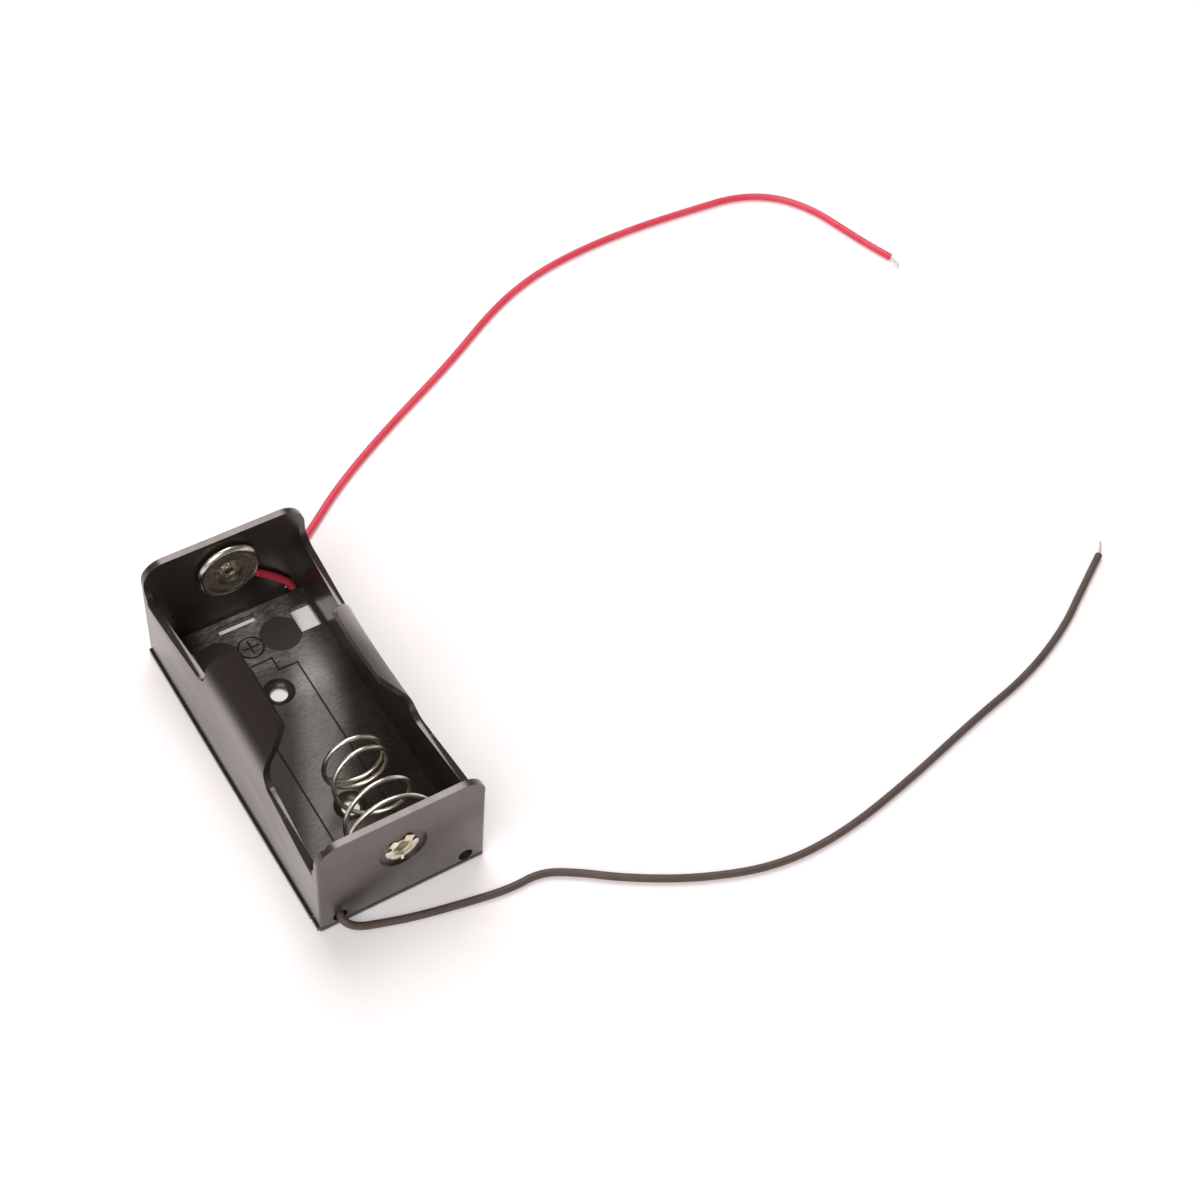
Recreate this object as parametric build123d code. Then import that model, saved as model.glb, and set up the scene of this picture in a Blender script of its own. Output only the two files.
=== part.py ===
from build123d import *
import math
import os

os.makedirs("parts", exist_ok=True)

# A holder for one round cell, 26 mm across and 50 mm long, with two loose leads.
# Millimetres. X runs across the holder, Y along the cell towards its positive end, Z up.
# The origin is at the middle of the underside of the moulding.

# The cell and the bay that takes it
cell_diameter = 26.2
cell_side_clearance = 0.15
bay_length = 59.2

# Moulded body
side_wall = 1.15
end_wall = 1.2
floor_thickness = 1.3
end_wall_height = 22.2
side_wall_height = 14.6
top_corner_radius = 3.9
upright_edge_radius = 0.55
side_foot_radius = 3.2
fillet_room_share = 0.9

bay_width = cell_diameter + 2 * cell_side_clearance
body_width = bay_width + 2 * side_wall
body_length = bay_length + 2 * end_wall
half_width = body_width / 2
half_length = body_length / 2
bay_end = bay_length / 2

# Sprung lips that close over the cell, and the way the side walls bow inwards
lip_radius = 12.2
lip_centre_height = 14.0
lip_angle = 53.0
lip_tip_thickness = 0.75
lip_crown_margin = 0.1
lip_length = 20.5
lip_far_corner_radius = 5.6
lip_near_corner_radius = 4.3
lip_far_foot_radius = 1.3
lip_near_foot_radius = 2.6
wall_bow = 1.25
end_lift = 4.2
station_shares = (-1.0, -0.72, 0.0, 0.72, 1.0)
bow_shares = (0.0, 0.27, 1.0, 0.27, 0.0)
lift_shares = (1.0, 0.25, 0.0, 0.25, 1.0)

# Base flange along both long sides, and the stub of the moulding gate
flange_height = 1.1
flange_reach = 0.35
flange_near_setback = 2.9
flange_far_setback = 0.5
gate_length = 1.9
gate_reach = 0.3
gate_gap = 0.45
base_step_height = 0.35
base_step_depth = 0.18

# Openings in the floor
window_width = 3.7
window_length = 5.45
window_centre_x = 10.8
window_centre_y = 23.87
slot_width = 6.9
slot_length = 1.6
slot_centre_y = 27.8
screw_hole_diameter = 3.0
countersink_diameter = 5.5
countersink_depth = 0.7
screw_far_y = 12.05
screw_near_y = -13.15

# Shallow marks on the floor
pad_radius = 3.55
pad_depth = 0.12
pad_centre_x = 5.65
pad_centre_y = 22.5
groove_width = 0.3
groove_depth = 0.16
plus_ring_radius = 2.3
plus_arm = 1.35
plus_centre_y = 22.3
figure_half_width = 5.4
figure_shoulder_y = 16.0
figure_nub_half_width = 2.05
figure_nub_length = 2.7
figure_foot_y = -26.0

# End wall details
positive_height = 14.9
spring_height = 13.4
rivet_recess_radius = 4.15
rivet_recess_depth = 0.45
lead_hole_diameter = 2.4
lead_hole_x = 11.0
lead_hole_height = 2.6

# Positive contact, a pressed disc with its rim turned back towards the wall
disc_radius = 5.55
disc_sheet = 0.3
disc_hub_radius = 1.9
disc_shoulder_radius = 2.5
disc_standoff = 0.95
disc_rim_radius = 0.5
disc_bead_height = 0.25
disc_edge_gap = 0.55
disc_ring_radii = (3.0, 3.7, 4.3)
disc_ring_height = 0.12
disc_ring_width = 0.3

# Rivets, hollow, with a round head at one end and a flared star at the other
rivet_sheet = 0.3
rivet_hole_clearance = 0.1
rivet_head_thickness = 0.35
rivet_head_softening = 0.14
spring_rivet_shank_radius = 1.6
spring_rivet_head_radius = 2.9
spring_rivet_star_radius = 2.75
positive_rivet_shank_radius = 1.1
positive_rivet_head_radius = 2.3
positive_rivet_star_radius = 1.75
star_petals = 6
star_slit_width = 0.42
star_edge_thickness = 0.14
star_lift = 0.36

# Contact spring, one wire: a loop under the rivet, a spread, open turns and closed end turns
spring_wire = 0.8
spring_seat_clearance = 0.03
spring_loop_gap = 0.1
spring_loop_turns = 0.9
spring_spread_turns = 0.6
spring_base_radius = 7.55
spring_end_radius = 5.05
spring_base_offset = 1.9
spring_free_length = 19.5
spring_lean_right = 0.088
spring_lean_down = 0.15
spring_open_angle = 180.0
spring_turn_marks = (0.0, 0.5, 1.0, 1.5, 2.0, 2.5, 3.0, 3.5, 3.9)
spring_reach_shares = (0.0, 0.07, 0.224, 0.421, 0.683, 0.826, 0.915, 0.96, 1.0)
spring_radius_shares = (1.0, 0.78, 0.556, 0.272, 0.0, 0.0, 0.0, 0.0, 0.0)
spring_points_per_turn = 12

# Leads
lead_diameter = 1.3
strand_diameter = 0.45
strand_clearance = 0.02
strand_drop = 0.43
tip_length = 3.4
bend_share = 0.45
overrun = 1.0

# Routes of the two leads, from the inside of the holder to the stripped end
lead_rest = lead_diameter / 2
red_route = [
    (4.9, 28.9, 11.3),
    (7.6, 28.75, 9.2),
    (10.1, 28.65, 6.5),
    (11.05, 28.6, 3.5),
    (11.0, 30.3, 2.6),
    (11.2, 32.4, 2.4),
    (13.0, 34.9, 1.5),
    (16.4, 37.8, 0.75),
    (21.2, 41.2, lead_rest),
    (28.5, 46.6, lead_rest),
    (37.6, 52.0, lead_rest),
    (47.5, 57.2, lead_rest),
    (61.0, 63.9, lead_rest),
    (75.6, 72.4, lead_rest),
    (86.5, 76.4, lead_rest),
    (98.0, 78.1, lead_rest),
    (110.5, 78.4, lead_rest),
    (123.5, 77.5, lead_rest),
    (133.4, 76.6, lead_rest),
    (140.6, 72.6, lead_rest),
    (145.0, 66.0, lead_rest),
    (147.2, 58.6, lead_rest),
    (149.1, 52.4, lead_rest),
    (150.8, 48.1, lead_rest),
]
black_route = [
    (-7.9, -28.9, 9.1),
    (-9.6, -28.8, 7.4),
    (-10.9, -28.7, 5.4),
    (-11.1, -28.6, 3.5),
    (-11.0, -30.3, 2.6),
    (-11.0, -32.2, 2.4),
    (-9.3, -33.4, 1.5),
    (-6.0, -34.1, 0.75),
    (-1.0, -35.6, lead_rest),
    (7.0, -37.3, lead_rest),
    (14.6, -38.6, lead_rest),
    (20.2, -38.3, lead_rest),
    (25.0, -40.9, lead_rest),
    (32.0, -46.2, lead_rest),
    (42.0, -51.8, lead_rest),
    (54.0, -55.9, lead_rest),
    (67.0, -55.9, lead_rest),
    (83.0, -52.6, lead_rest),
    (98.0, -48.6, lead_rest),
    (112.4, -45.5, lead_rest),
    (124.0, -40.6, lead_rest),
    (132.0, -35.5, lead_rest),
    (139.7, -30.8, lead_rest),
]


def rounded_plate(width, length, height, radius):
    """An upright-sided block that stands on the base plane, with rounded upright edges."""
    outline = RectangleRounded(width, length, radius)
    return extrude(outline, height)


def polar_point(centre, radius, angle):
    """A point on a circle, with the angle in degrees from the first axis."""
    turn = math.radians(angle)
    return (centre[0] + radius * math.cos(turn), centre[1] + radius * math.sin(turn))


def touch_angle(foot, centre, radius):
    """The angle at which a straight wall that starts at foot runs on into the circle."""
    across = foot[0] - centre[0]
    down = foot[1] - centre[1]
    reach = math.hypot(across, down)
    return math.degrees(math.atan2(down, across) + math.acos(radius / reach))


def wall_section(station, bow, lift):
    """One cross-section of the right side wall with its lip, at a place along the cell."""
    centre = (half_width - bow - lip_radius, lip_centre_height + lift)
    inner_radius = lip_radius - side_wall
    outer_foot = (half_width, flange_height)
    inner_foot = (bay_width / 2, flange_height)
    outer_touch = touch_angle(outer_foot, centre, lip_radius)
    inner_touch = touch_angle(inner_foot, centre, inner_radius)
    tip_inner_radius = lip_radius - lip_tip_thickness
    middle_inner_radius = (inner_radius + tip_inner_radius) / 2
    outer_start = polar_point(centre, lip_radius, outer_touch)
    outer_middle = polar_point(centre, lip_radius, (outer_touch + lip_angle) / 2)
    outer_tip = polar_point(centre, lip_radius, lip_angle)
    inner_tip = polar_point(centre, tip_inner_radius, lip_angle)
    inner_middle = polar_point(centre, middle_inner_radius, (inner_touch + lip_angle) / 2)
    inner_start = polar_point(centre, inner_radius, inner_touch)
    edges = [
        Line((half_width, 0), outer_foot),
        Line(outer_foot, outer_start),
        ThreePointArc(outer_start, outer_middle, outer_tip),
        Line(outer_tip, inner_tip),
        ThreePointArc(inner_tip, inner_middle, inner_start),
        Line(inner_start, inner_foot),
        Line(inner_foot, (bay_width / 2, 0)),
        Line((bay_width / 2, 0), (half_width, 0)),
    ]
    plane = Plane(origin=(0, station, 0), x_dir=(1, 0, 0), z_dir=(0, -1, 0))
    return plane * make_face(edges)


def side_outline():
    """The side view of a side wall: low by the end walls, with the lip in the middle."""
    shoulder = end_wall_height - top_corner_radius
    lip_far = lip_length / 2
    lip_near = -lip_length / 2
    crown = lip_centre_height + lip_radius * math.sin(math.radians(lip_angle)) + lip_crown_margin
    foot_radius = min(side_foot_radius, fillet_room_share * (shoulder - side_wall_height))
    corners = [
        ((-half_length, -overrun), 0),
        ((-half_length, shoulder), 0),
        ((-bay_end, shoulder), 0),
        ((-bay_end, side_wall_height), foot_radius),
        ((lip_near, side_wall_height), lip_near_foot_radius),
        ((lip_near, crown), lip_near_corner_radius),
        ((lip_far, crown), lip_far_corner_radius),
        ((lip_far, side_wall_height), lip_far_foot_radius),
        ((bay_end, side_wall_height), foot_radius),
        ((bay_end, shoulder), 0),
        ((half_length, shoulder), 0),
        ((half_length, -overrun), 0),
    ]
    points = [place for place, radius in corners]
    radii = [radius for place, radius in corners]
    outline = make_face(FilletPolyline(*points, radius=radii, close=True))
    return Plane.YZ * outline


def side_wall_solid():
    """The right side wall with its lip."""
    sections = []
    for station, bow, lift in zip(station_shares, bow_shares, lift_shares):
        sections.append(wall_section(station * half_length, bow * wall_bow, lift * end_lift))
    wall = loft(sections)
    window = extrude(side_outline(), half_width + overrun)
    return wall & window


def end_wall_solid(side):
    """An end wall with rounded top corners; side is 1 at the positive end and -1 at the spring."""
    profile = Rectangle(body_width, end_wall_height, align=(Align.CENTER, Align.MIN))
    top_corners = profile.vertices().sort_by(Axis.Y)[-2:]
    profile = fillet(top_corners, top_corner_radius)
    plane = Plane(origin=(0, side * bay_end, 0), x_dir=(1, 0, 0), z_dir=(0, -1, 0))
    wall = extrude(plane * profile, -side * end_wall)
    return wall


def ring_on_floor(centre_x, centre_y, outer, inner, depth):
    """A ring-shaped tool that cuts a shallow groove into the top of the floor."""
    ring = Circle(outer)
    if inner > 0:
        ring = ring - Circle(inner)
    place = Pos(centre_x, centre_y, floor_thickness - depth)
    return place * extrude(ring, depth + overrun)


def groove(start, end):
    """A straight shallow groove cut into the top of the floor."""
    along_x = abs(end[0] - start[0])
    along_y = abs(end[1] - start[1])
    middle = ((start[0] + end[0]) / 2, (start[1] + end[1]) / 2)
    cutter = Box(along_x + groove_width, along_y + groove_width, groove_depth + overrun)
    height = floor_thickness - groove_depth + (groove_depth + overrun) / 2
    return Pos(middle[0], middle[1], height) * cutter


def floor_marks():
    """The cell figure, the plus sign in its ring and the two matt pads."""
    figure = [
        (-figure_half_width, figure_foot_y),
        (-figure_half_width, figure_shoulder_y),
        (-figure_nub_half_width, figure_shoulder_y),
        (-figure_nub_half_width, figure_shoulder_y + figure_nub_length),
        (figure_nub_half_width, figure_shoulder_y + figure_nub_length),
        (figure_nub_half_width, figure_shoulder_y),
        (figure_half_width, figure_shoulder_y),
        (figure_half_width, figure_foot_y),
        (-figure_half_width, figure_foot_y),
    ]
    tools = []
    for start, end in zip(figure, figure[1:]):
        tools.append(groove(start, end))
    tools.append(groove((-plus_arm, plus_centre_y), (plus_arm, plus_centre_y)))
    tools.append(groove((0, plus_centre_y - plus_arm), (0, plus_centre_y + plus_arm)))
    inner = plus_ring_radius - groove_width
    tools.append(ring_on_floor(0, plus_centre_y, plus_ring_radius, inner, groove_depth))
    for side in (-1, 1):
        tools.append(ring_on_floor(side * pad_centre_x, pad_centre_y, pad_radius, 0, pad_depth))
    return tools


def floor_openings():
    """The two windows, the slot by the positive end and the two countersunk screw holes."""
    through = floor_thickness + 2 * overrun
    middle = floor_thickness / 2
    tools = []
    for side in (-1, 1):
        window = Box(window_width, window_length, through)
        tools.append(Pos(side * window_centre_x, window_centre_y, middle) * window)
    tools.append(Pos(0, slot_centre_y, middle) * Box(slot_width, slot_length, through))
    for place in (screw_far_y, screw_near_y):
        bore = Cylinder(screw_hole_diameter / 2, through)
        tools.append(Pos(0, place, middle) * bore)
        sink_low = screw_hole_diameter / 2
        sink_high = countersink_diameter / 2
        seat = Cone(sink_low, sink_high, countersink_depth)
        tools.append(Pos(0, place, floor_thickness - countersink_depth / 2) * seat)
        mouth = Cylinder(sink_high, overrun)
        tools.append(Pos(0, place, floor_thickness + overrun / 2) * mouth)
    return tools


def along_y(radius, start, end, x, z):
    """A round bar along Y from start to end."""
    bar = Cylinder(radius, abs(end - start))
    return Pos(x, (start + end) / 2, z) * Rot(90, 0, 0) * bar


def end_wall_openings():
    """Rivet holes with their outer recesses, and the four lead holes."""
    tools = []
    ends = (
        (1, positive_height, positive_rivet_shank_radius),
        (-1, spring_height, spring_rivet_shank_radius),
    )
    for side, height, shank in ends:
        inside = side * (bay_end - overrun)
        outside = side * (half_length + overrun)
        shelf = side * (half_length - rivet_recess_depth)
        tools.append(along_y(shank + rivet_hole_clearance, inside, outside, 0, height))
        tools.append(along_y(rivet_recess_radius, shelf, outside, 0, height))
        for hand in (-1, 1):
            bore = lead_hole_diameter / 2
            tools.append(along_y(bore, inside, outside, hand * lead_hole_x, lead_hole_height))
    return tools


def base_flange(side):
    """The narrow ledge along the foot of one long side."""
    start = -half_length + flange_near_setback
    end = half_length - flange_far_setback
    width = flange_reach + side_wall / 2
    centre_x = side * (half_width + flange_reach - width / 2)
    bar = Box(width, end - start, flange_height, align=(Align.CENTER, Align.CENTER, Align.MIN))
    return Pos(centre_x, (start + end) / 2, 0) * bar


def gate_stub():
    """What is left of the moulding gate, at the near end of the left flange."""
    start = -half_length + flange_near_setback - gate_gap
    width = gate_reach + side_wall / 2
    centre_x = -(half_width + gate_reach - width / 2)
    stub = Box(width, gate_length, flange_height, align=(Align.CENTER, Align.MAX, Align.MIN))
    return Pos(centre_x, start, 0) * stub


def holder_body():
    """The whole moulding in one piece."""
    right = side_wall_solid()
    left = mirror(right, Plane.YZ)
    floor = Box(body_width, body_length, floor_thickness, align=(Align.CENTER, Align.CENTER, Align.MIN))
    shell = floor + right + left + end_wall_solid(1) + end_wall_solid(-1)
    envelope = rounded_plate(body_width, body_length, end_wall_height + lip_radius, upright_edge_radius)
    shell = shell & envelope
    align = (Align.CENTER, Align.CENTER, Align.MIN)
    for side in (-1, 1):
        step = Box(body_width, base_step_depth, base_step_height, align=align)
        shell = shell - Pos(0, side * (half_length - base_step_depth / 2), 0) * step
        shell = shell + base_flange(side)
    shell = shell + gate_stub()
    tools = floor_openings() + end_wall_openings() + floor_marks()
    return shell - tools


def positive_contact():
    """The pressed disc: a hub on the wall, a raised plate with fine rings and a turned-back rim."""
    hole = positive_rivet_shank_radius + rivet_hole_clearance
    front = disc_standoff + disc_sheet
    rim_centre = (disc_radius - disc_rim_radius, front + disc_bead_height - disc_rim_radius)
    inner_rim = disc_rim_radius - disc_sheet
    outer_meet = 180 - math.degrees(math.asin((front - rim_centre[1]) / disc_rim_radius))
    inner_meet = 180 - math.degrees(math.asin((disc_standoff - rim_centre[1]) / inner_rim))
    face = [(hole, disc_sheet), (disc_hub_radius, disc_sheet), (disc_shoulder_radius, front)]
    for radius in disc_ring_radii:
        face.append((radius - disc_ring_width / 2, front))
        face.append((radius - disc_ring_width / 4, front + disc_ring_height))
        face.append((radius + disc_ring_width / 4, front + disc_ring_height))
        face.append((radius + disc_ring_width / 2, front))
    face.append(polar_point(rim_centre, disc_rim_radius, outer_meet))
    outer_middle = polar_point(rim_centre, disc_rim_radius, outer_meet / 2)
    inner_middle = polar_point(rim_centre, inner_rim, inner_meet / 2)
    inner_start = polar_point(rim_centre, inner_rim, inner_meet)
    skirt = [
        (disc_radius, rim_centre[1]),
        (disc_radius, disc_edge_gap),
        (disc_radius - disc_sheet, disc_edge_gap),
        (disc_radius - disc_sheet, rim_centre[1]),
    ]
    back = [
        inner_start,
        (disc_shoulder_radius + disc_sheet / 2, disc_standoff),
        (disc_hub_radius + disc_sheet / 2, 0),
        (hole, 0),
        (hole, disc_sheet),
    ]
    edges = [
        Polyline(*face),
        ThreePointArc(face[-1], outer_middle, skirt[0]),
        Polyline(*skirt),
        ThreePointArc(skirt[-1], inner_middle, inner_start),
        Polyline(*back),
    ]
    turned = revolve(make_face(edges), Axis.Y)
    return Pos(0, bay_end, positive_height) * mirror(turned, Plane.XZ)


def hollow_rivet(shank, head, star, grip):
    """A rivet along Y: its head below zero, its shank up to grip and its star beyond."""
    bore = shank - rivet_sheet
    profile = [
        (bore, -rivet_head_thickness),
        (head - rivet_head_softening, -rivet_head_thickness),
        (head, -rivet_head_thickness + rivet_head_softening),
        (head, 0),
        (shank, 0),
        (shank, grip),
        (star, grip),
        (star, grip + star_edge_thickness),
        (shank, grip + star_lift),
        (bore, grip + star_lift),
    ]
    turned = revolve(make_face(Polyline(*profile, close=True)), Axis.Y)
    slit_length = star - shank + overrun
    slit = Box(slit_length, star_lift + overrun, star_slit_width, align=(Align.MIN, Align.MIN, Align.CENTER))
    cutters = []
    for petal in range(star_petals):
        turn = 360 * petal / star_petals
        cutters.append(Rot(0, turn, 0) * Pos(shank, grip, 0) * slit)
    return turned - cutters


def positive_rivet():
    """The rivet that holds the positive disc, with its head in the outer recess."""
    shelf = half_length - rivet_recess_depth
    grip = shelf - (bay_end - disc_sheet)
    rivet = hollow_rivet(
        positive_rivet_shank_radius, positive_rivet_head_radius, positive_rivet_star_radius, grip
    )
    return Pos(0, shelf, positive_height) * mirror(rivet, Plane.XZ)


def spring_rivet():
    """The rivet that holds the spring's loop, with its star in the outer recess."""
    shelf = half_length - rivet_recess_depth
    seat = bay_end - spring_wire - 2 * spring_seat_clearance
    rivet = hollow_rivet(
        spring_rivet_shank_radius, spring_rivet_head_radius, spring_rivet_star_radius, shelf - seat
    )
    return Pos(0, -seat, spring_height) * mirror(rivet, Plane.XZ)


def ease(share):
    """A share from 0 to 1 that starts and ends gently."""
    return share * share * (3 - 2 * share)


def smooth_share(shares, turn):
    """A share at a place between the spring's turn marks, on a smooth curve through all of them."""
    marks = spring_turn_marks
    last = len(marks) - 1
    slopes = []
    for index in range(last + 1):
        low = max(index - 1, 0)
        high = min(index + 1, last)
        slopes.append((shares[high] - shares[low]) / (marks[high] - marks[low]))
    index = 0
    while index < last - 1 and turn > marks[index + 1]:
        index += 1
    span = marks[index + 1] - marks[index]
    along = (turn - marks[index]) / span
    leave = along * (1 - along) ** 2 * span * slopes[index]
    arrive = along ** 2 * (1 - along) * span * slopes[index + 1]
    return shares[index] + ease(along) * (shares[index + 1] - shares[index]) + leave - arrive


def spring_station(turn):
    """Radius, distance from the wall and share of the lean of the spring's wire at a turn."""
    loop_radius = spring_rivet_shank_radius + spring_wire / 2 + spring_loop_gap
    wire_rest = spring_wire / 2 + spring_seat_clearance
    if turn <= spring_loop_turns:
        return loop_radius, wire_rest, 0
    open_turn = turn - spring_loop_turns - spring_spread_turns
    if open_turn <= 0:
        spread = ease((turn - spring_loop_turns) / spring_spread_turns)
        radius = loop_radius + spread * (spring_base_radius - loop_radius)
        clear_radius = spring_rivet_head_radius + spring_wire
        rise = max(0, (radius - clear_radius) / (spring_base_radius - clear_radius))
        return radius, wire_rest + rise * (spring_base_offset - wire_rest), rise
    end_offset = spring_free_length - spring_wire / 2
    narrowing = spring_base_radius - spring_end_radius
    radius = spring_end_radius + smooth_share(spring_radius_shares, open_turn) * narrowing
    reach = smooth_share(spring_reach_shares, open_turn)
    return radius, spring_base_offset + reach * (end_offset - spring_base_offset), 1


def spring_point(turn):
    """A point of the wire's centre line; beyond its loop the spring leans right and down."""
    radius, offset, lean = spring_station(turn)
    open_start = spring_loop_turns + spring_spread_turns
    across, rise = polar_point((0, 0), radius, spring_open_angle + 360 * (open_start - turn))
    right = lean * spring_lean_right
    up = -lean * spring_lean_down
    stretch = math.hypot(1, right, up)
    away = (offset - right * across - up * rise) / stretch
    return (
        across + right * offset / stretch,
        -bay_end + away,
        spring_height + rise + up * offset / stretch,
    )


def contact_spring():
    """The wire spring, from its loop under the rivet to its free end."""
    turns = spring_loop_turns + spring_spread_turns + spring_turn_marks[-1]
    steps = math.ceil(turns * spring_points_per_turn)
    path = Spline(*[spring_point(turns * step / steps) for step in range(steps + 1)])
    section = Plane(origin=path @ 0, z_dir=path % 0) * Circle(spring_wire / 2)
    return sweep(section, path=path, is_frenet=True)


def lead_path(route, name):
    """Straight runs joined by tangent arcs, each as large as its two runs allow."""
    places = [Vector(*point) for point in route]
    radii = []
    for before, here, after in zip(places, places[1:], places[2:]):
        first = here - before
        second = after - here
        half_turn = math.radians(first.get_angle(second)) / 2
        radii.append(bend_share * min(first.length, second.length) / math.tan(half_turn))
    print(name, "bend radii", [round(radius, 1) for radius in radii])
    return FilletPolyline(*places, radius=radii)


def tube(path, diameter, name):
    """A round tube along a path."""
    section = Plane(origin=path @ 0, z_dir=path % 0) * Circle(diameter / 2)
    solid = sweep(section, path=path)
    exact = math.pi * diameter * diameter / 4 * path.length
    print(name, "length", round(path.length, 1), "volume", round(solid.volume / exact, 4))
    return solid


def bare_end(start, end, length):
    """A straight bare strand that goes on from end, in the direction from start to end."""
    direction = (Vector(*end) - Vector(*start)).normalized()
    place = Plane(origin=Vector(*end), z_dir=direction)
    return place * Cylinder(strand_diameter / 2, length, align=(Align.CENTER, Align.CENTER, Align.MIN))


def strands_to(start, centre_height, reach, side, name):
    """The bare strands inside, from the insulation's end down to the wall and on to the rivet."""
    rest = side * (bay_end - strand_diameter / 2 - strand_clearance)
    centre = Vector(0, rest, centre_height)
    away = Vector(start[0], 0, start[2] - centre_height)
    outward = away.normalized()
    route = [start, centre + outward * (away.length - strand_drop), centre + outward * reach]
    return tube(lead_path(route, name), strand_diameter, name)


def build_nodes():
    """Every piece of the holder, by name."""
    red_path = lead_path(red_route, "red_lead")
    black_path = lead_path(black_route, "black_lead")
    disc_reach = disc_shoulder_radius + disc_sheet + strand_diameter / 2
    loop_reach = spring_rivet_shank_radius + spring_loop_gap + spring_wire + strand_diameter / 2
    return {
        "holder_body": holder_body(),
        "positive_contact": positive_contact(),
        "positive_rivet": positive_rivet(),
        "contact_spring": contact_spring(),
        "spring_rivet": spring_rivet(),
        "red_lead": tube(red_path, lead_diameter, "red_lead"),
        "red_lead_strands": strands_to(red_route[0], positive_height, disc_reach, 1, "red strands"),
        "red_lead_tip": bare_end(red_route[-2], red_route[-1], tip_length),
        "black_lead": tube(black_path, lead_diameter, "black_lead"),
        "black_lead_strands": strands_to(black_route[0], spring_height, loop_reach, -1, "black strands"),
        "black_lead_tip": bare_end(black_route[-2], black_route[-1], tip_length),
    }


for node_name, shape in build_nodes().items():
    export_step(shape, f"parts/{node_name}.step")
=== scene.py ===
import logging
import math
from collections.abc import Sequence
from dataclasses import dataclass
from enum import Enum

import bmesh
import bpy
from mathutils import Matrix, Vector


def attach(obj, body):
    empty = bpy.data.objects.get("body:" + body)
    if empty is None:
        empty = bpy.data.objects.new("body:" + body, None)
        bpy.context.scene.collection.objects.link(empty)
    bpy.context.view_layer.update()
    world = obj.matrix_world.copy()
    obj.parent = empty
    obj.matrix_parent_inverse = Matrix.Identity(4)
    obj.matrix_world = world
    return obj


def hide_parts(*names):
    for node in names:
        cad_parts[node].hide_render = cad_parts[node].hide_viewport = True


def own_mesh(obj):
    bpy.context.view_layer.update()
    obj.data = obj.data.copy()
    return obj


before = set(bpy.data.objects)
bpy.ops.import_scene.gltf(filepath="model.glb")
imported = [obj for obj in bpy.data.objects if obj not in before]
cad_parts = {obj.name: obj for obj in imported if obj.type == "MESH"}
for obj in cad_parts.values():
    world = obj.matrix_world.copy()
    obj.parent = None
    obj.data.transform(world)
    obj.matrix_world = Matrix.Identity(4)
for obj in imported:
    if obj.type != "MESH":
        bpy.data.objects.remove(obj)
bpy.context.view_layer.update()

LOG = logging.getLogger("cell_holder")
MM = 0.001

# Places that several pieces share, in millimetres: the end walls' inner faces and the
# heights of the contacts' axes.
INNER_FACE = 29.6
DISC_HEIGHT = 14.9
COIL_HEIGHT = 13.4
# In metres, as the leads' routes are.
LEAD_DIAMETER = 0.0013

Colour = tuple[float, float, float]
Point = tuple[float, float, float]
Band = tuple[float, float]
Place = tuple[float, float]
Profile = list[Place]
Material = bpy.types.Material
Mesh = bpy.types.Mesh
Piece = bpy.types.Object
Socket = bpy.types.NodeSocket


class CadNode(str, Enum):
    """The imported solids, by the part each one stands for."""

    BODY = "holder_body"
    DISC = "positive_contact"
    DISC_RIVET = "positive_rivet"
    SPRING = "contact_spring"
    SPRING_RIVET = "spring_rivet"
    RED_LEAD = "red_lead"
    RED_STRANDS = "red_lead_strands"
    RED_TIP = "red_lead_tip"
    BLACK_LEAD = "black_lead"
    BLACK_STRANDS = "black_lead_strands"
    BLACK_TIP = "black_lead_tip"


class Slot(str, Enum):
    """The record's material slots."""

    MOULDING = "moulded_body"
    CONTACT = "plated_contact"
    RIVETS = "rivets"
    SPRING = "spring_wire"
    RED = "red_insulation"
    BLACK = "black_insulation"
    STRANDS = "tinned_strands"


class HolderEnd(Enum):
    """The two end walls, by the side of the Y axis that they are on."""

    POSITIVE = 1
    SPRING = -1


@dataclass(frozen=True)
class Value:
    """A number that varies: a socket that Python arithmetic can use."""

    net: "NodeNet"
    socket: Socket

    def __add__(self, other: "Number") -> "Value":
        """The sum of two values."""
        return self.net.math("ADD", self, other)

    def __sub__(self, other: "Number") -> "Value":
        """This value less another."""
        return self.net.math("SUBTRACT", self, other)

    def __rsub__(self, other: float) -> "Value":
        """A plain number less this value."""
        return self.net.math("SUBTRACT", other, self)

    def __mul__(self, other: "Number") -> "Value":
        """The product of two values."""
        return self.net.math("MULTIPLY", self, other)

    def __truediv__(self, other: "Number") -> "Value":
        """This value divided by another."""
        return self.net.math("DIVIDE", self, other)

    def __pow__(self, power: float) -> "Value":
        """This value raised to a power."""
        return self.net.math("POWER", self, power)

    def __abs__(self) -> "Value":
        """The value without its sign."""
        return self.net.math("ABSOLUTE", self)

    __radd__ = __add__
    __rmul__ = __mul__


Number = Value | float
Feed = Value | Socket | float | int | str | tuple


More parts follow.
